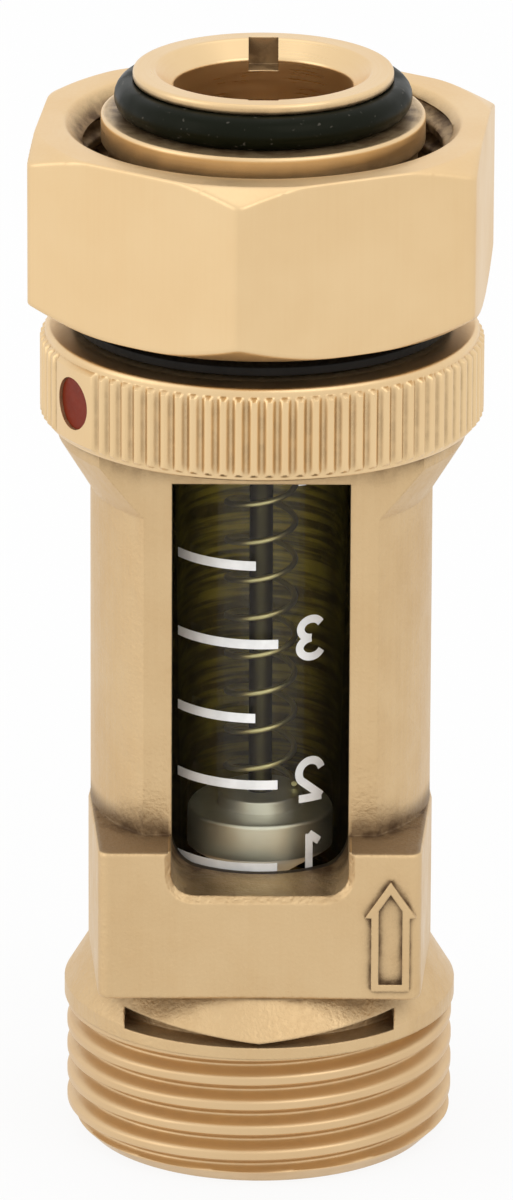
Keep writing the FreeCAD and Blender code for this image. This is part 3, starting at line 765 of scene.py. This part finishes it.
def union_nut():
    """Hexagon nut with its female thread, as rows of points round the axis.

    Rows go up the outside, in over the top face, down the lead and the thread, in over
    the web and down its bore, and out over the lower face.
    """
    size = sizes()
    depth, pitch = size.thread_depth / MM, size.thread_pitch / MM
    edge = size.brass_edge / MM
    low, high = NUT_LOW[2], NUT_HIGH[2]
    angle = full_turn(NUT_SPOKES)[:, None]
    turn = np.linspace(0, np.pi / 2, 5)
    sides = np.concatenate([np.linspace(low + 0.3, low + 3.2, 20),
                            np.linspace(high - 3.0, high - 0.3, 20)])
    rise = np.concatenate([low + edge * (1 - np.cos(turn)), sides,
                           high - edge * (1 - np.sin(turn))])
    inset = np.concatenate([edge * (1 - np.sin(turn)), np.zeros_like(sides),
                            edge * (1 - np.cos(turn))])
    outside = nut_radius(angle, np.broadcast_to(rise, (NUT_SPOKES, len(rise)))) - inset
    mouth = NUT_BORE_R + NUT_LEAD
    top_share = np.array([0.06, 0.5, 0.94])
    top = outside[:, -1:] * (1 - top_share) + mouth * top_share
    fall = np.linspace(high - 0.06, low + NUT_WEB, 84)
    lead = mouth - (high - fall)
    groove = depth * (1 - thread_form(angle, fall, pitch, THREAD_PHASE))
    fade = smooth_step(fall, low + NUT_WEB, low + NUT_WEB + 0.6)
    female = np.maximum(NUT_BORE_R + groove * fade, lead)
    web = np.array([[NUT_WEB_R + 0.2, low + NUT_WEB], [NUT_WEB_R, low + NUT_WEB - 0.2],
                    [NUT_WEB_R, low + 0.3], [NUT_WEB_R + 0.1, low + 0.05],
                    [NUT_WEB_R + 0.3, low]])
    low_share = np.array([0.5, 0.94])
    under = web[-1, 0] * (1 - low_share) + outside[:, :1] * low_share
    radius = np.hstack([outside, top, female, np.ones_like(angle) * web[:, 0], under])
    height = np.hstack([rise, np.full(3, high), fall, web[:, 1], np.full(2, low)])
    return shell("hexagon_nut", round_points(radius, angle, height), wrap_rows=True)


class FLOWMETER_OT_union_nut(bpy.types.Operator):
    """Make the hexagon union nut with its female thread"""
    bl_idname = "flow_meter.union_nut"
    bl_label = "Union nut"

    def execute(self, context):
        nut = union_nut()
        keep_flats(nut)
        settle(nut, "nut", "turned_brass", "nut_brass", "union_nut")
        return {"FINISHED"}


# ---- regulating ring and its dot ----
FLUTES = 90
FLUTE_SAMPLES = 12
FLUTE_DEPTH = 0.34
FLUTE_CREST = 0.42
FLUTE_ROOT = 0.20
FLUTE_TOP_LAND = 0.55
FLUTE_FOOT_LAND = 0.30
PAD_HALF_ANGLE = 8.0
DOT_AZIMUTH = -58.0
DOT_R = 1.8
DOT_RECESS = 0.15
DOT_DEPTH = 1.79
RING_BORE_R = 10.45
RING_EDGE = 0.35
LAND_RUN_OUT = 0.25


def flute_form(angle, roundness):
    """1 on a crest and 0 in a root of the straight knurl; 1 all over the plain pad."""
    azimuth = np.degrees(angle) + 90
    offset = np.mod(azimuth - DOT_AZIMUTH + 180, 360) - 180
    pitch = 360.0 / FLUTES
    share = np.mod(offset / pitch, 1.0)
    arc = TAU * RING_R / FLUTES
    distance = np.abs(share - 0.5) * arc
    flank_start = FLUTE_ROOT / 2
    flank_end = arc / 2 - FLUTE_CREST / 2
    straight = np.clip((distance - flank_start) / (flank_end - flank_start), 0, 1)
    curved = smooth_step(distance, flank_start * 0.2, flank_end + FLUTE_CREST * 0.35)
    form = straight * (1 - roundness) + curved * roundness
    return np.where(np.abs(offset) < PAD_HALF_ANGLE, 1.0, form)


def regulating_ring():
    """Knurled ring: a plain section with quarter-round edges turned round the axis, and
    between the two lands the radius grows by the flute depth times the flute form."""
    low, high = RING_LOW[2], RING_HIGH[2]
    angle = (radians(DOT_AZIMUTH - 90) + full_turn(FLUTES * FLUTE_SAMPLES))[:, None]
    edge = RING_EDGE
    turn = np.linspace(0, np.pi / 2, 6)
    land = high - FLUTE_TOP_LAND
    foot = low + FLUTE_FOOT_LAND
    rise = np.concatenate([low + edge * (1 - np.cos(turn)), [foot + 0.02, foot + 0.12, foot + 0.3],
                           np.linspace(foot + 1.0, land - 1.0, 4),
                           [land - 0.3, land - 0.12, land - 0.02, land + 0.05],
                           high - edge * (1 - np.sin(turn))])
    rise = np.sort(rise)
    near_end = np.clip(1 - np.minimum(rise - low, high - rise) / edge, 0, 1)
    base = RING_R - FLUTE_DEPTH - edge * (1 - np.sqrt(1 - near_end ** 2))
    between = (smooth_step(rise, foot, foot + LAND_RUN_OUT)
               * smooth_step(-rise, -land, -land + LAND_RUN_OUT))
    outside = base + FLUTE_DEPTH * between * flute_form(angle, sizes().knurl_roundness)
    inner = np.array([[RING_BORE_R + 0.3, high], [RING_BORE_R + 0.05, high - 0.05],
                      [RING_BORE_R, high - 0.3], [RING_BORE_R, low + 0.3],
                      [RING_BORE_R + 0.05, low + 0.05], [RING_BORE_R + 0.3, low]])
    radius = np.hstack([outside, np.ones_like(angle) * inner[:, 0]])
    height = np.hstack([rise, inner[:, 1]])
    return shell("knurled_ring", round_points(radius, angle, height), wrap_rows=True, sharp=50.0)


def dot_plug(name, radius, face, floor, dish):
    """Round plug set into the ring along its radius: rows of circles from the floor to the
    face, whose surface follows the ring and dips by the dish towards its middle."""
    middle = (RING_LOW[2] + RING_HIGH[2]) / 2
    share = np.array([0.02, 0.35, 0.7, 0.88, 1.0, 1.0])
    dip = np.array([1.0, 0.9, 0.55, 0.2, 0.0])
    reach = np.append(face - dish * dip, floor)
    turn = full_turn(48)
    across = radius * share[:, None] * np.cos(turn)
    up = radius * share[:, None] * np.sin(turn)
    out = np.sqrt(np.clip(reach[:, None] ** 2 - across ** 2, 0, None))
    away = radians(DOT_AZIMUTH)
    x = out * np.sin(away) + across * np.cos(away)
    y = -out * np.cos(away) + across * np.sin(away)
    points = np.stack([x, y, middle + up], axis=-1)
    return shell(name, points, cap_ends=True)


class FLOWMETER_OT_regulating_ring(bpy.types.Operator):
    """Make the knurled regulating ring and its red position dot"""
    bl_idname = "flow_meter.regulating_ring"
    bl_label = "Regulating ring"

    def execute(self, context):
        floor = RING_R - DOT_DEPTH
        hole = dot_plug("dot_hole", DOT_R, RING_R + 1.0, floor, 0.0)
        ring = carved(regulating_ring(), hole)
        keep_flats(ring)
        settle(ring, "regulator", "knurled_brass", "knurl_brass", "regulating_ring")
        dot = dot_plug("red_dot", DOT_R - 0.01, RING_R - DOT_RECESS - 0.1, floor + 0.01, 0.12)
        settle(dot, "regulator", "red_plastic", "dot_paint", "position_dot")
        return {"FINISHED"}


# ---- outlet side ----
TAIL_BORE_R, TAIL_SPIGOT_R, TAIL_R, TAIL_COLLAR_R = 6.0, 8.95, 10.4, 10.9
SNAP_ABOVE_WASHER, SNAP_GROOVE_R, SNAP_GROOVE_HALF = 3.0, 9.85, 0.6
COLLAR_BELOW_TOP, COLLAR_HEIGHT = 4.9, 1.9
SEAL_GROOVE_R, SEAL_R, SEAL_WIRE_R, SEAL_SQUASH = 7.76, 8.88, 1.12, 0.06
RIM_R, RIM_HEIGHT = 8.75, 0.7
MOUTH_R, MOUTH_DEPTH = 7.3, 1.1
TOOL_SLOT_HALF, TOOL_SLOT_DEPTH, TOOL_SLOT_REACH = 1.0, 1.9, 7.5
WASHER_BORE_R, WASHER_R, WASHER_EDGE = 9.0, 12.8, 0.12


def tailpiece():
    """Turned outlet piece: its section with broken edges turned round the axis, with one
    bar cut across the mouth that leaves two slots for a flat tool."""
    low, top = TAIL_LOW[2], TAIL_HIGH[2]
    washer = WASHER_HIGH[2]
    snap_low = washer + SNAP_ABOVE_WASHER - SNAP_GROOVE_HALF
    snap_top = washer + SNAP_ABOVE_WASHER + SNAP_GROOVE_HALF
    collar = top - COLLAR_BELOW_TOP
    collar_top, rim = collar + COLLAR_HEIGHT, top - RIM_HEIGHT
    section = [(TAIL_BORE_R, low), (TAIL_SPIGOT_R, low), (TAIL_SPIGOT_R, washer),
               (TAIL_R, washer), (TAIL_R, snap_low), (SNAP_GROOVE_R, snap_low),
               (SNAP_GROOVE_R, snap_top), (TAIL_R, snap_top), (TAIL_R, collar),
               (TAIL_COLLAR_R, collar), (TAIL_COLLAR_R, collar_top),
               (SEAL_GROOVE_R, collar_top), (SEAL_GROOVE_R, rim), (RIM_R, rim), (RIM_R, top),
               (MOUTH_R, top), (TAIL_BORE_R, top - MOUTH_DEPTH)]
    reach = np.full(len(section), sizes().brass_edge / MM)
    reach[9:11] = 0.25  # the collar's edges
    reach[13:15] = 0.24  # the rim's edges
    piece = shell("outlet_tailpiece", turned(rounded(section, reach), 160), wrap_rows=True)
    half, floor = TOOL_SLOT_HALF, top - TOOL_SLOT_DEPTH
    end = [(-half, floor), (half, floor), (half, top + 1), (-half, top + 1)]
    bar = np.array([[(x, y, z) for x, z in end] for y in (-TOOL_SLOT_REACH, TOOL_SLOT_REACH)])
    return carved(piece, shell("slot_bar", bar, cap_ends=True))


def wire_ring(name, middle_r, wire_r, height, squash):
    """Ring of round section: (R + w cos b, h + w sin b) turned round the axis; the section is
    flattened by the squash where it sits on its groove."""
    b = full_turn(24)
    inward = np.clip(-np.cos(b), 0, 1)
    outline = np.stack([middle_r + wire_r * (np.cos(b) + squash * inward),
                        height + wire_r * np.sin(b) * (1 + squash * 0.4)], axis=-1)
    return shell(name, turned(outline, 144), wrap_rows=True)


class FLOWMETER_OT_outlet(bpy.types.Operator):
    """Make the tailpiece, its sealing ring and the slide washer"""
    bl_idname = "flow_meter.outlet"
    bl_label = "Outlet pieces"

    def execute(self, context):
        piece = tailpiece()
        keep_flats(piece)
        settle(piece, "housing", "turned_brass", "satin_brass", "tailpiece")
        middle = (ORING_LOW[2] + ORING_HIGH[2]) / 2
        seal = wire_ring("sealing_ring", SEAL_R, SEAL_WIRE_R, middle, SEAL_SQUASH)
        settle(seal, "housing", "black_rubber", "greased_rubber", "tailpiece_oring")
        low, high = WASHER_LOW[2], WASHER_HIGH[2]
        section = [(WASHER_BORE_R, low), (WASHER_R, low), (WASHER_R, high), (WASHER_BORE_R, high)]
        outline = rounded(section, WASHER_EDGE)
        washer = shell("black_washer", turned(outline, 144), wrap_rows=True)
        settle(washer, "housing", "black_plastic", "matt_plastic", "slide_washer")
        return {"FINISHED"}


# ---- sight tube, float and spring ----
SPRING_TURNS = 12
TUBE_BORE_LOW_R, TUBE_BORE_TOP_R = 5.4, 6.0
FLOAT_BORE_R, FLOAT_NOSE_R, FLOAT_HUB_R = 0.9, 2.2, 2.9
FLOAT_BAND_LOW, FLOAT_BAND_TOP = 2.15, 4.70


def sight_tube():
    """Glass tube with a conical bore, its section turned round the axis."""
    low, top = TUBE_LOW[2], TUBE_HIGH[2]
    section = [(TUBE_BORE_LOW_R, low), (TUBE_R, low), (TUBE_R, top), (TUBE_BORE_TOP_R, top)]
    return shell("glass_tube", turned(rounded(section, 0.3), 128), wrap_rows=True)


def float_body():
    """Turned float: nose cone, sharp reading edge, band and spring hub round the rod's bore."""
    low, top = FLOAT_LOW[2], FLOAT_HIGH[2]
    band_low, band_top = low + FLOAT_BAND_LOW, low + FLOAT_BAND_TOP
    section = [(FLOAT_BORE_R, low), (FLOAT_NOSE_R, low), (4.65, band_low - 0.35),
               (FLOAT_R, band_low), (FLOAT_R, band_top), (FLOAT_HUB_R, band_top),
               (FLOAT_HUB_R, top), (FLOAT_BORE_R, top)]
    reach = [0.08, 0.3, 0.1, 0.05, 0.25, 0.12, 0.15, 0.08]
    return shell("turned_float", turned(rounded(section, reach), 96), wrap_rows=True)


def float_spring():
    """Round wire along an even helix.

    The wire's middle at a share t of its length stands at 2 pi t times the turns and at a
    height that grows evenly with t; its section is a circle across it.
    """
    wire_r = sizes().spring_wire / MM / 2
    coil_r = SPRING_HIGH[0] - wire_r - 0.02
    low, top = SPRING_LOW[2] + wire_r, SPRING_HIGH[2] - wire_r
    t = np.linspace(0, 1, SPRING_TURNS * 28 + 1)
    angle = TAU * SPRING_TURNS * t
    middle = round_points(np.full_like(t, coil_r), angle, low + (top - low) * t)
    along = np.gradient(middle, axis=0)
    along /= np.linalg.norm(along, axis=1, keepdims=True)
    out = np.stack([np.cos(angle), np.sin(angle), np.zeros_like(angle)], axis=-1)
    side = np.cross(along, out)
    b = full_turn(10)[:, None]
    points = middle[:, None] + wire_r * (out[:, None] * np.cos(b) + side[:, None] * np.sin(b))
    return shell("coil_spring", points, cap_ends=True, sharp=70.0)


class FLOWMETER_OT_sight(bpy.types.Operator):
    """Make the glass tube, the float and its spring"""
    bl_idname = "flow_meter.sight"
    bl_label = "Tube, float and spring"

    def execute(self, context):
        settle(sight_tube(), "housing", "tube_glass", "clear_glass", "sight_tube")
        settle(float_body(), "float", "float_steel", "satin_steel", "float")
        spring = settle(float_spring(), "housing", "spring_steel", "drawn_wire", "float_spring")
        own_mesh(spring)
        return {"FINISHED"}


# ---- printed scale ----
MARKS = ((20.8, 10.0), (26.8, 10.0), (31.6, -3.0), (36.9, 10.0), (42.5, -3.0), (49.2, 10.0))
MARK_START = -56.0
NUMBERS = (("1", 21.65), ("2", 26.95), ("3", 37.1), ("4", 49.4))
NUMBER_AZIMUTH = 30.4
NUMBER_WIDTH = 1.78
STROKE = 0.56


def arc_line(middle, radii, start, end, steps):
    """Points of an elliptic arc from one angle to another, in degrees."""
    turn = np.radians(np.linspace(start, end, steps))
    return np.stack([middle[0] + radii[0] * np.cos(turn), middle[1] + radii[1] * np.sin(turn)],
                    axis=-1)


def line(start, end, steps):
    share = np.linspace(0, 1, steps)[:, None]
    return np.array(start) * (1 - share) + np.array(end) * share


def number_strokes(number, wide, high):
    """Middle lines of a number's strokes in a box wide by high round its middle."""
    w, h = wide / 2, high / 2
    if number == "1":
        return [line((0.1, -h), (0.1, h), 8), line((0.1, h), (-w * 0.8, h * 0.52), 6)]
    if number == "2":
        top = arc_line((0, h - w), (w, w), 165, -32, 22)
        foot = line((-w, -h), (w, -h), 8)
        return [np.vstack([top, line(top[-1], (-w, -h), 10)[1:]]), foot]
    if number == "3":
        top = arc_line((0, h / 2), (w * 0.92, h / 2), 155, -90, 22)
        low = arc_line((0, -h / 2), (w, h / 2), 90, -155, 24)
        return [top, low]
    stem, bar = w * 0.85, -h * 0.35
    slope = line((stem, h), (-w, bar), 10)
    return [slope, line((-w, bar), (w * 1.2, bar), 8), line((stem, h), (stem, -h), 12)]


def ribbon(path, width, radius, thickness):
    """Flat stroke laid on a cylinder: the path moved half the width to either side, at the
    radius and at the radius less the thickness."""
    along = np.gradient(path, axis=0)
    along /= np.linalg.norm(along, axis=1, keepdims=True)
    across = np.stack([-along[:, 1], along[:, 0]], axis=-1) * width / 2
    left, right = path + across, path - across
    inner = radius - thickness
    corners = [on_cylinder(radius, left[:, 0], left[:, 1]),
               on_cylinder(radius, right[:, 0], right[:, 1]),
               on_cylinder(inner, right[:, 0] * inner / radius, right[:, 1]),
               on_cylinder(inner, left[:, 0] * inner / radius, left[:, 1])]
    return np.stack(corners, axis=1)


def joined(name, parts):
    """One mesh from several closed strips of points."""
    pieces = [shell(name + "_part", points, cap_ends=True) for points in parts]
    work = bmesh.new()
    for piece in pieces:
        work.from_mesh(piece.data)
        bpy.data.objects.remove(piece)
    mesh = bpy.data.meshes.new(name)
    work.to_mesh(mesh)
    work.free()
    return new_object(name, mesh)


class FLOWMETER_OT_scale(bpy.types.Operator):
    """Make the printed scale marks and numbers on the tube"""
    bl_idname = "flow_meter.scale"
    bl_label = "Printed scale"

    def execute(self, context):
        size = sizes()
        thick = size.print_thickness / MM
        radius = TUBE_R + thick * 0.8
        bars = []
        for height, end in MARKS:
            steps = int(end - MARK_START) // 3
            turn = np.radians(np.linspace(MARK_START, end, steps))
            path = np.stack([turn * radius, np.full(steps, height)], axis=-1)
            bars.append(ribbon(path, size.mark_height / MM, radius, thick))
        settle(joined("scale_marks", bars), "housing", "tube_glass", "print_ink")
        strokes = []
        high = size.number_height / MM - STROKE
        for number, height in NUMBERS:
            for path in number_strokes(number, NUMBER_WIDTH, high):
                placed = path * (-1, 1) + (radians(NUMBER_AZIMUTH) * radius, height)
                strokes.append(ribbon(placed, STROKE, radius, thick))
        settle(joined("scale_numbers", strokes), "housing", "tube_glass", "print_ink")
        return {"FINISHED"}


# ---- CAD nodes kept as they are ----
KEPT_FINISHES = {
    "tube_gasket_lower": "greased_rubber", "tube_gasket_upper": "greased_rubber",
    "inlet_guide": "satin_brass", "inlet_retainer": "drawn_wire", "guide_rod": "oxidised_steel",
    "throttle_seat": "satin_brass", "throttle_rotor": "matt_plastic",
    "rotor_oring_lower": "greased_rubber", "rotor_oring_upper": "greased_rubber",
    "drive_pin_front": "drawn_wire", "drive_pin_rear": "drawn_wire",
    "ring_friction_oring": "greased_rubber", "nut_snap_ring": "drawn_wire",
}


class FLOWMETER_OT_inner_pieces(bpy.types.Operator):
    """Give the inner pieces kept from the CAD model their finishes"""
    bl_idname = "flow_meter.inner_pieces"
    bl_label = "Inner pieces"

    def execute(self, context):
        for name, finish in KEPT_FINISHES.items():
            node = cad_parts[name]
            for place in node.material_slots:
                place.material = bpy.data.materials[finish]
        return {"FINISHED"}


# ---- stage ----
CAMERA_ELEVATION = 19.2
CAMERA_DISTANCE = 0.7483
CAMERA_TARGET_Z = 0.03774
CAMERA_LENS = 330.0
CAMERA_ROLL = 0.26
CAMERA_SHIFT = -0.00375
WHITE = (1, 1, 1, 1)


def seen_directly(tree):
    """1 for what the camera sees itself, in gloss or through glass; 0 for plain light."""
    rays = put(tree, "ShaderNodeLightPath").outputs
    mirrored = calc(tree, "MAXIMUM", rays["Is Glossy Ray"], rays["Is Transmission Ray"])
    return calc(tree, "MAXIMUM", rays["Is Camera Ray"], mirrored)


def studio_floor():
    """Large pale plane under the part; what a camera, gloss or glass sees of it is near white."""
    half = 4.0
    mesh = bpy.data.meshes.new("studio_floor")
    mesh.from_pydata([(-half, -half, 0), (half, -half, 0), (half, half, 0), (-half, half, 0)],
                     [], [(0, 1, 2, 3)])
    floor = new_object("studio_floor", mesh)
    tree, surface, leave = new_material("floor_paper")
    surface.inputs["Base Color"].default_value = rgba(colours().floor)
    surface.inputs["Roughness"].default_value = 0.9
    surface.inputs["Specular IOR Level"].default_value = 0.1
    white = put(tree, "ShaderNodeEmission", {"Color": WHITE, "Strength": 1.0})
    mix_surface(tree, leave, product(tree, seen_directly(tree), 0.88), surface, white)
    mesh.materials.append(bpy.data.materials["floor_paper"])


def studio_world():
    """Pale surround: white where it is seen, softer as light."""
    world = bpy.data.worlds.new("studio")
    world.use_nodes = True
    tree = world.node_tree
    tree.nodes.clear()
    strength = map_range(tree, seen_directly(tree), 0.0, 1.0, 0.95, 1.0, smooth=False)
    background = put(tree, "ShaderNodeBackground", {"Color": WHITE, "Strength": strength})
    put(tree, "ShaderNodeOutputWorld", {"Surface": background.outputs[0]})
    bpy.context.scene.world = world


def softbox(name, place, aim, width, height, power):
    light = bpy.data.lights.new(name, "AREA")
    light.shape = "RECTANGLE"
    light.size, light.size_y, light.energy = width, height, power
    box = new_object(name, light)
    box.location = place
    box.rotation_euler = (Vector(aim) - Vector(place)).to_track_quat("-Z", "Y").to_euler()


def studio_camera():
    """Camera in front of the window, a little above the part."""
    data = bpy.data.cameras.new("camera")
    data.lens = CAMERA_LENS
    data.sensor_width = 36.0
    data.shift_x = CAMERA_SHIFT
    data.clip_start = 0.01
    data.clip_end = 20.0
    camera = new_object("camera", data)
    rise = radians(CAMERA_ELEVATION)
    target = Vector((0, 0, CAMERA_TARGET_Z))
    place = target + Vector((0, -np.cos(rise), np.sin(rise))) * CAMERA_DISTANCE
    look = (target - place).to_track_quat("-Z", "Y").to_matrix().to_4x4()
    roll = Matrix.Rotation(radians(CAMERA_ROLL), 4, "Z")
    camera.matrix_world = Matrix.Translation(place) @ look @ roll
    bpy.context.scene.camera = camera


class FLOWMETER_OT_stage(bpy.types.Operator):
    """Make the pale floor, the soft lights and the camera"""
    bl_idname = "flow_meter.stage"
    bl_label = "Stage"

    def execute(self, context):
        context.scene.view_settings.view_transform = "Standard"
        studio_floor()
        studio_world()
        aim = (0, 0, 0.04)
        softbox("key", (0.55, -0.75, 0.85), aim, 0.9, 0.9, 2.0)
        softbox("fill", (-0.95, -0.35, 0.45), aim, 0.7, 1.0, 1.5)
        softbox("top", (0.0, 0.25, 1.1), aim, 1.0, 0.7, 0.8)
        studio_camera()
        return {"FINISHED"}


# ---- panel and registration ----
OPERATORS = (FLOWMETER_OT_finishes, FLOWMETER_OT_body, FLOWMETER_OT_union_nut,
             FLOWMETER_OT_regulating_ring, FLOWMETER_OT_outlet, FLOWMETER_OT_sight,
             FLOWMETER_OT_scale, FLOWMETER_OT_inner_pieces, FLOWMETER_OT_stage)


class FLOWMETER_PT_panel(bpy.types.Panel):
    """Sizes, colours and pieces of the flow meter"""
    bl_idname = "FLOWMETER_PT_panel"
    bl_label = "Flow meter"
    bl_space_type = "VIEW_3D"
    bl_region_type = "UI"
    bl_category = "Flow meter"

    def draw(self, context):
        for group in (context.scene.flow_meter_sizes, context.scene.flow_meter_colours):
            box = self.layout.box()
            for name in group.__annotations__:
                box.prop(group, name)
        for operator in OPERATORS:
            self.layout.operator(operator.bl_idname)


CLASSES = (FlowMeterSizes, FlowMeterColours) + OPERATORS + (FLOWMETER_PT_panel,)


def register():
    for cls in CLASSES:
        bpy.utils.register_class(cls)
    bpy.types.Scene.flow_meter_sizes = bpy.props.PointerProperty(type=FlowMeterSizes)
    bpy.types.Scene.flow_meter_colours = bpy.props.PointerProperty(type=FlowMeterColours)


def unregister():
    del bpy.types.Scene.flow_meter_colours
    del bpy.types.Scene.flow_meter_sizes
    for cls in reversed(CLASSES):
        bpy.utils.unregister_class(cls)


def main():
    register()
    bpy.ops.flow_meter.finishes()
    bpy.ops.flow_meter.body()
    bpy.ops.flow_meter.union_nut()
    bpy.ops.flow_meter.regulating_ring()
    bpy.ops.flow_meter.outlet()
    bpy.ops.flow_meter.sight()
    bpy.ops.flow_meter.scale()
    bpy.ops.flow_meter.inner_pieces()
    bpy.ops.flow_meter.stage()
    bpy.context.view_layer.update()


if __name__ == "__main__":
    main()
